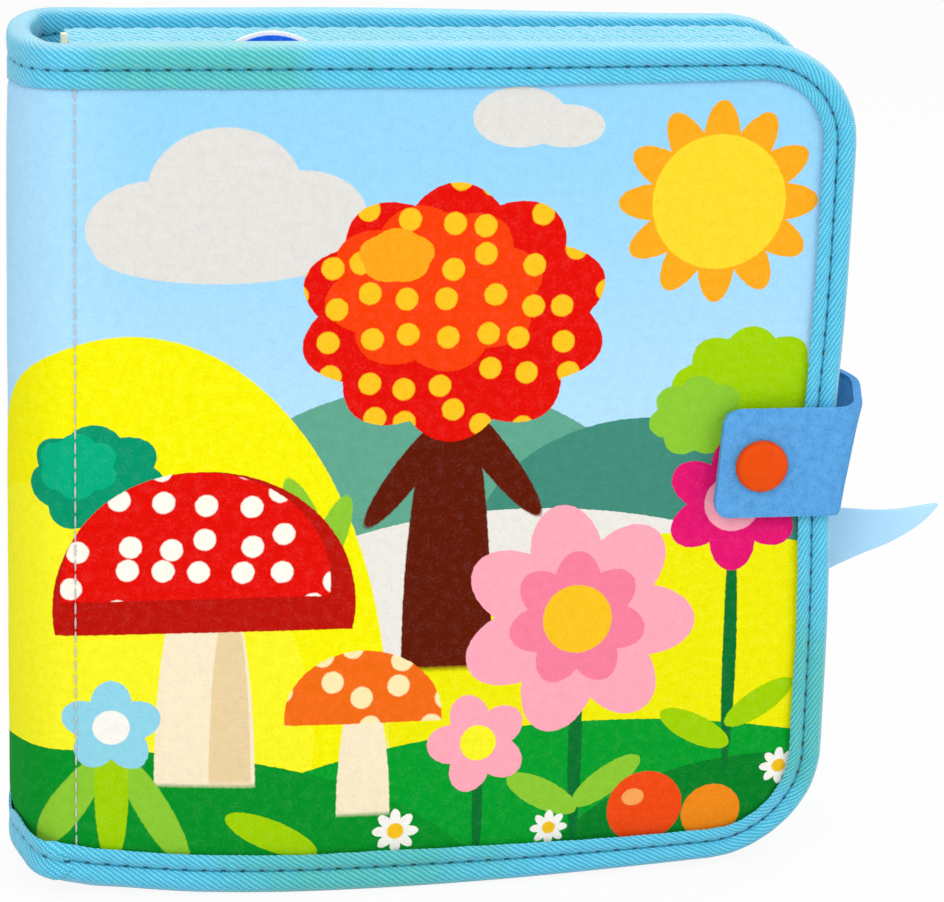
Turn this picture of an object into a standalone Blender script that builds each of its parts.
"""Sensory book: a closed felt activity book, standing on its lower edge.

Metres, +Z up. The front cover faces -Y, the spine is at -X and the leaves open at +X.
Sizes and places are in book coordinates, which start at the outer face of the spine,
at the middle of the thickness and at the surface the book stands on. One empty moves
the whole book, so that the part's origin is the middle of the foot of its box.
"""

import math

import bmesh
import bpy

MM = 0.001
QUARTER_TURN = math.pi / 2
FULL_TURN = 2 * math.pi

# The closed book
BOOK_WIDTH = 198 * MM
BOOK_HEIGHT = 205 * MM
BOOK_THICKNESS = 44 * MM
SPINE_DEPTH = 14.3 * MM
TOP_CORNER_RADIUS = 22 * MM
BOTTOM_CORNER_RADIUS = 26 * MM

# What touches keeps this gap, a cutter runs this far past what it cuts, and points of
# one piece that lie closer than the weld distance are one point
SEAM_GAP = 0.3 * MM
CUT_OVERRUN = 2 * MM
WELD_DISTANCE = 0.003 * MM

# Cover cloth, from the outside in, and the ribbon folded over its edge
COVER_FELT = 1.2 * MM
COVER_STIFFENER = 1.2 * MM
COVER_LINING = 1.0 * MM
COVER_RIBBON = 0.5 * MM
COVER_RIBBON_REACH = 9.5 * MM

# Leaves, four of them, each two felts on a stiffener inside a ribbon
LEAF_COUNT = 4
LEAF_FELT = 0.8 * MM
LEAF_STIFFENER = 0.8 * MM
LEAF_RIBBON = 0.4 * MM
LEAF_RIBBON_REACH = 9.0 * MM
LEAF_TOP_DROP = 2.5 * MM
LEAF_FOOT_RISE = 3.0 * MM
LEAF_FORE_DROP = 5.0 * MM
LEAF_CORNER_RADIUS = 18 * MM
LEAF_AXIS_INSET = 17.5 * MM
LEAF_FOLD_LENGTH = 1.2 * MM
LEAF_WEB = 0.8 * MM
LEAF_WEB_MARGIN = 1.5 * MM

# Felt strap, closed by a press snap
STRAP_WIDTH = 26.5 * MM
STRAP_THICKNESS = 2.0 * MM
STRAP_HEIGHT = 104.2 * MM
STRAP_LOOP_CLEARANCE = 3.0 * MM
STRAP_TAB_REACH = 30 * MM
STRAP_ANCHOR_REACH = 28 * MM
STRAP_CORNER_RADIUS = 6 * MM

# Press snap: cap and socket on the strap, stud and its back cap on the cover
SNAP_FROM_FORE_EDGE = 20.3 * MM
SNAP_CAP_RADIUS = 6.2 * MM
SNAP_CAP_HEIGHT = 2.3 * MM
SNAP_CAP_ROUNDING = 0.9 * MM
SNAP_POST_RADIUS = 1.1 * MM
SNAP_HOLE_CLEARANCE = 0.35 * MM
SNAP_STUD_RADIUS = 5.0 * MM
SNAP_STUD_FLANGE = 0.5 * MM
SNAP_NUB_RADIUS = 1.9 * MM
SNAP_SOCKET_RADIUS = 4.6 * MM
SNAP_SOCKET_HEIGHT = 0.8 * MM
SNAP_NUB_CLEARANCE = 0.35 * MM
SNAP_BACK_CAP_RADIUS = 5.8 * MM
SNAP_BACK_CAP_HEIGHT = 1.5 * MM

# Round felt badge, held on the first leaf by a hook-and-loop patch
BADGE_RADIUS = 16 * MM
BADGE_BORDER = 1.3 * MM
BADGE_BASE = 0.8 * MM
BADGE_FACE = 0.6 * MM
BADGE_FROM_SPINE = 60.2 * MM
BADGE_ABOVE_COVER = 2.8 * MM
BADGE_PATCH_RADIUS = 6.5 * MM
BADGE_PATCH_DROP = 8.5 * MM
PATCH_THICKNESS = 0.4 * MM

# Felt animal, held between the second and third leaf, with its tail out at the fore-edge
FIGURE_FELT = 1.5 * MM
FIGURE_TAIL_REACH = 32.6 * MM
FIGURE_LENGTH = 125 * MM
FIGURE_FOOT = 36 * MM
FIGURE_HEIGHT = 49 * MM
FIGURE_PATCH_RADIUS = 9 * MM

# How finely round work is divided
CORNER_STEPS = 10
SPINE_STEPS = 24
DISC_SEGMENTS = 40
FIGURE_STEPS = 5
CAP_ROUNDING_STEPS = 4

# Worked out from the sizes above
cover_total = (
    2 * (COVER_RIBBON + SEAM_GAP) + COVER_FELT + COVER_STIFFENER + COVER_LINING
    + 2 * SEAM_GAP
)
spine_total = 2 * (COVER_RIBBON + SEAM_GAP) + COVER_FELT + SEAM_GAP + COVER_LINING
leaf_total = 2 * (LEAF_RIBBON + LEAF_FELT) + LEAF_STIFFENER + 4 * SEAM_GAP
half_thickness = BOOK_THICKNESS / 2
block_thickness = BOOK_THICKNESS - 2 * cover_total
leaf_gap = (block_thickness - LEAF_COUNT * leaf_total) / (LEAF_COUNT + 1)
leaf_pitch = leaf_total + leaf_gap
spine_radius = (SPINE_DEPTH**2 + half_thickness**2) / (2 * SPINE_DEPTH)
leaf_edge = BOOK_WIDTH - LEAF_FORE_DROP
leaf_top = BOOK_HEIGHT - LEAF_TOP_DROP

snap_x = BOOK_WIDTH - SNAP_FROM_FORE_EDGE
snap_hole = SNAP_POST_RADIUS + SNAP_HOLE_CLEARANCE
cover_felt_face = half_thickness - COVER_RIBBON - SEAM_GAP
stud_face = cover_felt_face + SEAM_GAP + SNAP_STUD_FLANGE
socket_face = stud_face + SEAM_GAP + SNAP_SOCKET_HEIGHT
tab_inner = socket_face + SEAM_GAP
tab_outer = tab_inner + STRAP_THICKNESS
cap_seat = tab_outer + SEAM_GAP
front_reach = cap_seat + SNAP_CAP_HEIGHT
anchor_inner = half_thickness + SEAM_GAP
back_reach = anchor_inner + STRAP_THICKNESS
strap_low = STRAP_HEIGHT - STRAP_WIDTH / 2
strap_high = STRAP_HEIGHT + STRAP_WIDTH / 2
strap_fold_x = BOOK_WIDTH + STRAP_LOOP_CLEARANCE + STRAP_THICKNESS / 2
strap_back_fold_y = anchor_inner + STRAP_THICKNESS / 2
strap_front_fold_y = -(tab_inner + tab_outer) / 2
strap_fold_room = STRAP_THICKNESS / 2 + SEAM_GAP

badge_z = BOOK_HEIGHT + BADGE_ABOVE_COVER - BADGE_RADIUS
tail_tip_x = BOOK_WIDTH + FIGURE_TAIL_REACH
origin_shift = (-tail_tip_x / 2, (front_reach - back_reach) / 2, 0)

# Colours as Principled base colours, with roughness and metallic
FINISHES = {
    "cover_felt": ((0.42, 0.72, 0.93), 0.95, 0),
    "lining_felt": ((0.55, 0.80, 0.95), 0.95, 0),
    "stiffener": ((0.90, 0.86, 0.74), 0.9, 0),
    "ribbon": ((0.12, 0.56, 0.78), 0.8, 0),
    "leaf_felt": ((0.78, 0.88, 0.95), 0.95, 0),
    "strap_felt": ((0.12, 0.35, 0.72), 0.95, 0),
    "snap_plastic": ((0.90, 0.11, 0.0), 0.35, 0),
    "badge_white": ((0.88, 0.90, 0.93), 0.95, 0),
    "badge_blue": ((0.02, 0.12, 0.55), 0.9, 0),
    "patch": ((0.85, 0.85, 0.85), 0.9, 0),
    "figure_felt": ((0.34, 0.62, 0.95), 0.95, 0),
}

part = None
guides = None
pivots = {}


def clear_scene():
    """Empties the scene and makes the two collections."""
    global part, guides
    for old in list(bpy.data.objects):
        bpy.data.objects.remove(old, do_unlink=True)
    part = bpy.data.collections.new("sensory_book")
    guides = bpy.data.collections.new("cutters")
    bpy.context.scene.collection.children.link(part)
    bpy.context.scene.collection.children.link(guides)


def finish_material(slot):
    """The material of one finish, made once."""
    known = bpy.data.materials.get(slot)
    if known:
        return known
    colour, roughness, metallic = FINISHES[slot]
    made = bpy.data.materials.new(slot)
    made.use_nodes = True
    shader = made.node_tree.nodes["Principled BSDF"]
    shader.inputs["Base Color"].default_value = (*colour, 1)
    shader.inputs["Roughness"].default_value = roughness
    shader.inputs["Metallic"].default_value = metallic
    return made


def pivot(name, place, carrier=None):
    """An empty on a joint's axis, at a place in book coordinates."""
    empty = bpy.data.objects.new(name + "_axis", None)
    part.objects.link(empty)
    held = pivots[carrier][1] if carrier else (0, 0, 0)
    empty.parent = pivots[carrier][0] if carrier else None
    empty.location = [a - b for a, b in zip(place, held)]
    pivots[name] = (empty, place if carrier else (0, 0, 0))


def hang(obj, carrier):
    """Hangs an object, so far in book coordinates, on its body's empty."""
    empty, held = pivots[carrier]
    obj.parent = empty
    obj.location = [a - b for a, b in zip(obj.location, held)]


def settle(obj, carrier, slot):
    """Hangs a finished piece on its body's empty and gives it its finish."""
    hang(obj, carrier)
    obj.data.materials.clear()
    obj.data.materials.append(finish_material(slot))


def flat_curve(name, points, thickness, collection):
    """A filled flat outline with a thickness, on its own local XY plane."""
    curve = bpy.data.curves.new(name, "CURVE")
    curve.dimensions = "2D"
    curve.fill_mode = "BOTH"
    curve.extrude = thickness / 2
    spline = curve.splines.new("POLY")
    spline.points.add(len(points) - 1)
    for point, (across, up) in zip(spline.points, points):
        point.co = (across, up, 0, 1)
    spline.use_cyclic_u = True
    obj = bpy.data.objects.new(name, curve)
    collection.objects.link(obj)
    return obj


def stand_up(obj, near, far):
    """Turns a flat outline to face -Y, filling the space from near to far."""
    obj.rotation_euler = (QUARTER_TURN, 0, 0)
    obj.location = (0, (near + far) / 2, 0)
    return obj


def upright_plate(name, points, near, far, collection=None):
    """A plate in the plane of the covers: points are (x, z)."""
    plate = flat_curve(name, points, abs(far - near), collection or part)
    return stand_up(plate, near, far)


def level_prism(name, points, low, high, collection=None):
    """A prism that stands on a plan outline: points are (x, y)."""
    prism = flat_curve(name, points, high - low, collection or part)
    prism.location = (0, 0, (low + high) / 2)
    return prism


def made_mesh(obj):
    """Turns a curve object into a mesh object with welded caps."""
    bpy.context.view_layer.update()
    depsgraph = bpy.context.evaluated_depsgraph_get()
    mesh = bpy.data.meshes.new_from_object(obj.evaluated_get(depsgraph))
    work = bmesh.new()
    work.from_mesh(mesh)
    bmesh.ops.remove_doubles(work, verts=work.verts, dist=WELD_DISTANCE)
    bmesh.ops.recalc_face_normals(work, faces=work.faces)
    work.to_mesh(mesh)
    work.free()
    name, place, home = obj.name, obj.matrix_world.copy(), obj.users_collection[0]
    bpy.data.objects.remove(obj, do_unlink=True)
    solid = bpy.data.objects.new(name, mesh)
    solid.matrix_world = place
    home.objects.link(solid)
    return solid


def cut(obj, cutter, body):
    """Takes a cutter out of an object; the cutter moves with the same body."""
    hang(cutter, body)
    cutter.hide_render = True
    cutter.display_type = "WIRE"
    boolean = obj.modifiers.new("cut_" + cutter.name, "BOOLEAN")
    boolean.operation = "DIFFERENCE"
    boolean.solver = "EXACT"
    boolean.object = cutter


def panel_outline(x_start, x_end, low, high, corners):
    """An upright outline with radii at its lower left, lower right, upper right, upper left."""
    lower_left, lower_right, upper_right, upper_left = corners
    centres = (
        (x_start + lower_left, low + lower_left, lower_left, 2),
        (x_end - lower_right, low + lower_right, lower_right, 3),
        (x_end - upper_right, high - upper_right, upper_right, 0),
        (x_start + upper_left, high - upper_left, upper_left, 1),
    )
    points = []
    for x, z, radius, quarter in centres:
        steps = CORNER_STEPS if radius else 0
        for step in range(steps + 1):
            angle = QUARTER_TURN * (quarter + (step / steps if steps else 0))
            points.append((x + radius * math.cos(angle), z + radius * math.sin(angle)))
    return points


def bound_outline(sizes, inset, x_start):
    """A cover's or leaf's outline, drawn in by inset on its three free edges."""
    x_end, low, high, lower_radius, upper_radius = sizes
    corners = (0, lower_radius - inset, upper_radius - inset, 0)
    return panel_outline(x_start, x_end - inset, low + inset, high - inset, corners)


def ribbon_outline(sizes, reach, x_start):
    """The C-shaped band that a ribbon covers, round the three free edges."""
    outer = bound_outline(sizes, 0, x_start)
    inner = bound_outline(sizes, reach, x_start)
    return outer + inner[::-1]


def spine_outline(outer_depth, inner_depth, x_end):
    """A curved band of the spine in plan, between two depths under its outer face."""
    points = []
    for depth, turn in ((outer_depth, 1), (inner_depth, -1)):
        radius = spine_radius - depth
        widest = math.acos((spine_radius - x_end) / radius)
        for step in range(SPINE_STEPS + 1):
            angle = turn * widest * (2 * step / SPINE_STEPS - 1)
            x = spine_radius - radius * math.cos(angle)
            points.append((x, radius * math.sin(angle)))
    return points


def disc(name, radius, x, z, near, far, collection=None):
    """A round plate that faces -Y."""
    work = bmesh.new()
    bmesh.ops.create_cone(
        work, cap_ends=True, segments=DISC_SEGMENTS, radius1=radius, radius2=radius,
        depth=abs(far - near),
    )
    mesh = bpy.data.meshes.new(name)
    work.to_mesh(mesh)
    work.free()
    obj = bpy.data.objects.new(name, mesh)
    (collection or part).objects.link(obj)
    stand_up(obj, near, far)
    obj.location.x = x
    obj.location.z = z
    return obj


def snap_drill(name, radius, near, far):
    """A cutter for the hole that a snap's post goes through."""
    low, high = min(near, far) - CUT_OVERRUN, max(near, far) + CUT_OVERRUN
    return disc(name, radius, snap_x, STRAP_HEIGHT, low, high, guides)


def turned(name, profile, x, y, z, closed=False):
    """A turned piece on an axis along -Y: profile points are (radius, height)."""
    mesh = bpy.data.meshes.new(name)
    edges = [(n, n + 1) for n in range(len(profile) - 1)]
    if closed:
        edges.append((len(profile) - 1, 0))
    mesh.from_pydata([(radius, 0, height) for radius, height in profile], edges, [])
    obj = bpy.data.objects.new(name, mesh)
    part.objects.link(obj)
    screw = obj.modifiers.new("turn", "SCREW")
    screw.axis = "Z"
    screw.angle = FULL_TURN
    screw.steps = DISC_SEGMENTS
    screw.render_steps = DISC_SEGMENTS
    screw.use_merge_vertices = True
    screw.merge_threshold = WELD_DISTANCE
    screw.use_smooth_shade = True
    obj.rotation_euler = (QUARTER_TURN, 0, 0)
    obj.location = (x, y, z)
    return obj


def ribbon_channel(body, band, slot):
    """A ribbon folded over an edge: a band with a slot cut along it."""
    band = made_mesh(band)
    cut(band, made_mesh(slot), body)
    settle(band, body, "ribbon")


def make_panel(body, layers, sizes, side, outer, ribbon, reach, hole=0):
    """Cloths and ribbon of one cover or leaf; side is -1 where outer faces the front."""
    inset = ribbon + SEAM_GAP
    depth = inset
    for name, thickness, start, finish in layers:
        near = side * (outer - depth)
        far = side * (outer - depth - thickness)
        plate = upright_plate(f"{body}_{name}", bound_outline(sizes, inset, start), near, far)
        if hole:
            plate = made_mesh(plate)
            drill = snap_drill(f"{body}_{name}_hole", hole, near, far)
            cut(plate, drill, body)
        settle(plate, body, finish)
        depth += thickness + SEAM_GAP
    total = depth + ribbon
    start = layers[0][2]
    name = f"{body}_ribbon"
    band = upright_plate(
        name, ribbon_outline(sizes, reach, start), side * outer, side * (outer - total)
    )
    slot = upright_plate(
        name + "_slot", bound_outline(sizes, ribbon, start - CUT_OVERRUN),
        side * (outer - ribbon), side * (outer - total + ribbon), guides,
    )
    ribbon_channel(body, band, slot)


def make_spine():
    """The curved spine: felt, lining and a ribbon over each end."""
    end = SPINE_DEPTH - SEAM_GAP
    inset = COVER_RIBBON + SEAM_GAP
    low, high = inset, BOOK_HEIGHT - inset
    felt = spine_outline(inset, inset + COVER_FELT, end)
    settle(level_prism("spine_felt", felt, low, high), "spine", "cover_felt")
    lining_depth = inset + COVER_FELT + SEAM_GAP
    lining = spine_outline(lining_depth, lining_depth + COVER_LINING, end)
    settle(level_prism("spine_lining", lining, low, high), "spine", "lining_felt")
    band_plan = spine_outline(0, spine_total, end)
    slot_plan = spine_outline(COVER_RIBBON, spine_total - COVER_RIBBON, SPINE_DEPTH)
    ends = (
        ("spine_ribbon_bottom", 0, COVER_RIBBON_REACH,
         COVER_RIBBON, COVER_RIBBON_REACH + CUT_OVERRUN),
        ("spine_ribbon_top", BOOK_HEIGHT - COVER_RIBBON_REACH, BOOK_HEIGHT,
         BOOK_HEIGHT - COVER_RIBBON_REACH - CUT_OVERRUN, BOOK_HEIGHT - COVER_RIBBON),
    )
    for name, low, high, slot_low, slot_high in ends:
        band = level_prism(name, band_plan, low, high)
        slot = level_prism(name + "_slot", slot_plan, slot_low, slot_high, guides)
        ribbon_channel("spine", band, slot)


def leaf_y(number):
    """Middle of a leaf's thickness; leaf 1 is next to the front cover."""
    return -block_thickness / 2 + leaf_gap + leaf_total / 2 + (number - 1) * leaf_pitch


def make_leaf(number):
    """One leaf, and the web of cloth that sews it to the spine."""
    body = f"leaf_{number}"
    middle = leaf_y(number)
    pivot(body, (LEAF_AXIS_INSET, middle, 0), "spine")
    felt_start = LEAF_AXIS_INSET + LEAF_FOLD_LENGTH
    layers = (
        ("front_felt", LEAF_FELT, felt_start, "leaf_felt"),
        ("stiffener", LEAF_STIFFENER, LEAF_AXIS_INSET, "stiffener"),
        ("back_felt", LEAF_FELT, felt_start, "leaf_felt"),
    )
    sizes = (leaf_edge, LEAF_FOOT_RISE, leaf_top, LEAF_CORNER_RADIUS, LEAF_CORNER_RADIUS)
    front = leaf_total / 2 - middle
    make_panel(body, layers, sizes, -1, front, LEAF_RIBBON, LEAF_RIBBON_REACH)
    web_side = abs(middle) + LEAF_WEB / 2
    inner_radius = spine_radius - spine_total + COVER_RIBBON + SEAM_GAP
    web_start = spine_radius - math.sqrt(inner_radius**2 - web_side**2) + SEAM_GAP
    web_end = LEAF_AXIS_INSET - LEAF_STIFFENER / 2 - SEAM_GAP
    margin = COVER_RIBBON_REACH + LEAF_WEB_MARGIN
    web = panel_outline(web_start, web_end, margin, BOOK_HEIGHT - margin, (0, 0, 0, 0))
    plate = upright_plate(
        f"leaf_{number}_web", web, middle - LEAF_WEB / 2, middle + LEAF_WEB / 2
    )
    settle(plate, "spine", "lining_felt")


def make_cover(body, side, hole=0):
    """A cover: printed felt, stiffener, lining and ribbon. side is -1 for the front."""
    pivot(body, (SPINE_DEPTH, side * (half_thickness + SEAM_GAP), 0), "spine")
    layers = (
        ("felt", COVER_FELT, SPINE_DEPTH, "cover_felt"),
        ("stiffener", COVER_STIFFENER, SPINE_DEPTH, "stiffener"),
        ("lining", COVER_LINING, SPINE_DEPTH, "lining_felt"),
    )
    sizes = (BOOK_WIDTH, 0, BOOK_HEIGHT, BOTTOM_CORNER_RADIUS, TOP_CORNER_RADIUS)
    make_panel(body, layers, sizes, side, half_thickness, COVER_RIBBON, COVER_RIBBON_REACH, hole)


def make_snap_stud():
    """The half of the snap on the front cover: stud outside, its back cap inside."""
    nub_top = socket_face - stud_face
    stud = [
        (0, nub_top),
        (SNAP_NUB_RADIUS, nub_top),
        (SNAP_NUB_RADIUS, 0),
        (SNAP_STUD_RADIUS, 0),
        (SNAP_STUD_RADIUS, -SNAP_STUD_FLANGE),
        (0, -SNAP_STUD_FLANGE),
    ]
    piece = turned("snap_stud", stud, snap_x, -stud_face, STRAP_HEIGHT)
    settle(piece, "front_cover", "snap_plastic")
    lining_face = half_thickness - cover_total + COVER_RIBBON + SEAM_GAP
    seat = lining_face - SEAM_GAP
    post_top = cover_felt_face - seat
    back_cap = [
        (0, post_top),
        (SNAP_POST_RADIUS, post_top),
        (SNAP_POST_RADIUS, 0),
        (SNAP_BACK_CAP_RADIUS, 0),
        (SNAP_BACK_CAP_RADIUS, -SNAP_BACK_CAP_HEIGHT / 2),
        (SNAP_BACK_CAP_RADIUS - SNAP_BACK_CAP_HEIGHT / 2, -SNAP_BACK_CAP_HEIGHT),
        (0, -SNAP_BACK_CAP_HEIGHT),
    ]
    piece = turned("snap_stud_back_cap", back_cap, snap_x, -seat, STRAP_HEIGHT)
    settle(piece, "front_cover", "snap_plastic")


def make_strap():
    """The strap: sewn to the back cover, round the fore-edge, snapped to the front."""
    square = (0, 0, 0, 0)
    anchor = panel_outline(
        BOOK_WIDTH - STRAP_ANCHOR_REACH, strap_fold_x - strap_fold_room,
        strap_low, strap_high, square,
    )
    plate = upright_plate("strap_anchor", anchor, anchor_inner, back_reach)
    settle(plate, "back_cover", "strap_felt")

    pivot("strap_side", (strap_fold_x, strap_back_fold_y, 0), "back_cover")
    inner, outer = strap_fold_x - STRAP_THICKNESS / 2, strap_fold_x + STRAP_THICKNESS / 2
    front_end = strap_front_fold_y + strap_fold_room
    plan = [
        (inner, front_end),
        (outer, front_end),
        (outer, strap_back_fold_y),
        (inner, strap_back_fold_y),
    ]
    settle(level_prism("strap_side", plan, strap_low, strap_high), "strap_side", "strap_felt")

    pivot("strap_tab", (strap_fold_x, strap_front_fold_y, 0), "strap_side")
    corners = (STRAP_CORNER_RADIUS, 0, 0, STRAP_CORNER_RADIUS)
    outline = panel_outline(
        BOOK_WIDTH - STRAP_TAB_REACH, strap_fold_x, strap_low, strap_high, corners
    )
    tab = made_mesh(upright_plate("strap_tab", outline, -tab_outer, -tab_inner))
    cut(tab, snap_drill("strap_tab_hole", snap_hole, -tab_outer, -tab_inner), "strap_tab")
    settle(tab, "strap_tab", "strap_felt")

    rounding = []
    for step in range(CAP_ROUNDING_STEPS + 1):
        angle = QUARTER_TURN * step / CAP_ROUNDING_STEPS
        radius = SNAP_CAP_RADIUS - SNAP_CAP_ROUNDING * (1 - math.sin(angle))
        height = SNAP_CAP_HEIGHT - SNAP_CAP_ROUNDING * (1 - math.cos(angle))
        rounding.append((radius, height))
    cap = [(0, SNAP_CAP_HEIGHT)] + rounding + [
        (SNAP_CAP_RADIUS, 0),
        (SNAP_POST_RADIUS, 0),
        (SNAP_POST_RADIUS, -(cap_seat - tab_inner)),
        (0, -(cap_seat - tab_inner)),
    ]
    settle(turned("snap_cap", cap, snap_x, -cap_seat, STRAP_HEIGHT), "strap_tab", "snap_plastic")
    bore = SNAP_NUB_RADIUS + SNAP_NUB_CLEARANCE
    socket = [
        (SNAP_SOCKET_RADIUS, 0),
        (SNAP_SOCKET_RADIUS, -SNAP_SOCKET_HEIGHT),
        (bore, -SNAP_SOCKET_HEIGHT),
        (bore, 0),
    ]
    ring = turned("snap_socket", socket, snap_x, -socket_face, STRAP_HEIGHT, closed=True)
    settle(ring, "strap_tab", "snap_plastic")


def make_badge():
    """The round badge, and the patch on the first leaf that it sticks to."""
    leaf_face = leaf_total / 2 - leaf_y(1)
    patch_z = badge_z - BADGE_PATCH_DROP
    loop_seat = leaf_face - LEAF_RIBBON
    loop = disc(
        "leaf_1_loop_patch", BADGE_PATCH_RADIUS, BADGE_FROM_SPINE, patch_z,
        -loop_seat - PATCH_THICKNESS, -loop_seat,
    )
    settle(loop, "leaf_1", "patch")

    pivot("badge", (BADGE_FROM_SPINE, -leaf_face, badge_z), "leaf_1")
    depth = leaf_face + SEAM_GAP
    layers = (
        ("badge_hook_patch", BADGE_PATCH_RADIUS, PATCH_THICKNESS, patch_z, "patch"),
        ("badge_base", BADGE_RADIUS, BADGE_BASE, badge_z, "badge_white"),
        ("badge_face", BADGE_RADIUS - BADGE_BORDER, BADGE_FACE, badge_z, "badge_blue"),
    )
    for name, radius, thickness, z, slot in layers:
        plate = disc(name, radius, BADGE_FROM_SPINE, z, -depth - thickness, -depth)
        settle(plate, "badge", slot)
        depth += thickness + SEAM_GAP


def make_figure():
    """A plain felt animal between the leaves; its tail shows at the fore-edge."""
    # Tip of the tail, then over the back to the head, and under the belly to the tail
    outline_shares = (
        (1.0, 1.0), (0.894, 0.963), (0.786, 0.988), (0.56, 1.05), (0.3, 1.0),
        (0.1, 0.86), (0.01, 0.5), (0.12, 0.12), (0.4, 0.0), (0.66, 0.22),
        (0.786, 0.62), (0.837, 0.696), (0.91, 0.782), (0.975, 0.91),
    )
    left = tail_tip_x - FIGURE_LENGTH
    leaf_face = leaf_y(2) + leaf_total / 2
    pivot("figure", (left, leaf_face, FIGURE_FOOT), "leaf_2")
    curve = bpy.data.curves.new("figure_felt", "CURVE")
    curve.dimensions = "2D"
    curve.fill_mode = "BOTH"
    curve.extrude = FIGURE_FELT / 2
    curve.resolution_u = FIGURE_STEPS
    spline = curve.splines.new("BEZIER")
    spline.bezier_points.add(len(outline_shares) - 1)
    for point, (along, up) in zip(spline.bezier_points, outline_shares):
        point.co = (left + along * FIGURE_LENGTH, FIGURE_FOOT + up * FIGURE_HEIGHT, 0)
        point.handle_left_type = "AUTO"
        point.handle_right_type = "AUTO"
    tip = spline.bezier_points[0]
    tip.handle_left_type = "VECTOR"
    tip.handle_right_type = "VECTOR"
    spline.use_cyclic_u = True
    felt = bpy.data.objects.new("figure_felt", curve)
    part.objects.link(felt)
    felt_near = leaf_face + 2 * SEAM_GAP + PATCH_THICKNESS
    stand_up(felt, felt_near, felt_near + FIGURE_FELT)
    settle(felt, "figure", "figure_felt")
    patch = disc(
        "figure_hook_patch", FIGURE_PATCH_RADIUS, left + FIGURE_LENGTH / 3,
        FIGURE_FOOT + FIGURE_HEIGHT / 2, leaf_face + SEAM_GAP,
        leaf_face + SEAM_GAP + PATCH_THICKNESS,
    )
    settle(patch, "figure", "patch")


def make_book():
    """The whole book."""
    clear_scene()
    pivot("spine", origin_shift)
    make_spine()
    make_cover("front_cover", -1, snap_hole)
    make_cover("back_cover", 1)
    make_snap_stud()
    for number in range(1, LEAF_COUNT + 1):
        make_leaf(number)
    make_strap()
    make_badge()
    make_figure()
    bpy.context.view_layer.update()


make_book()
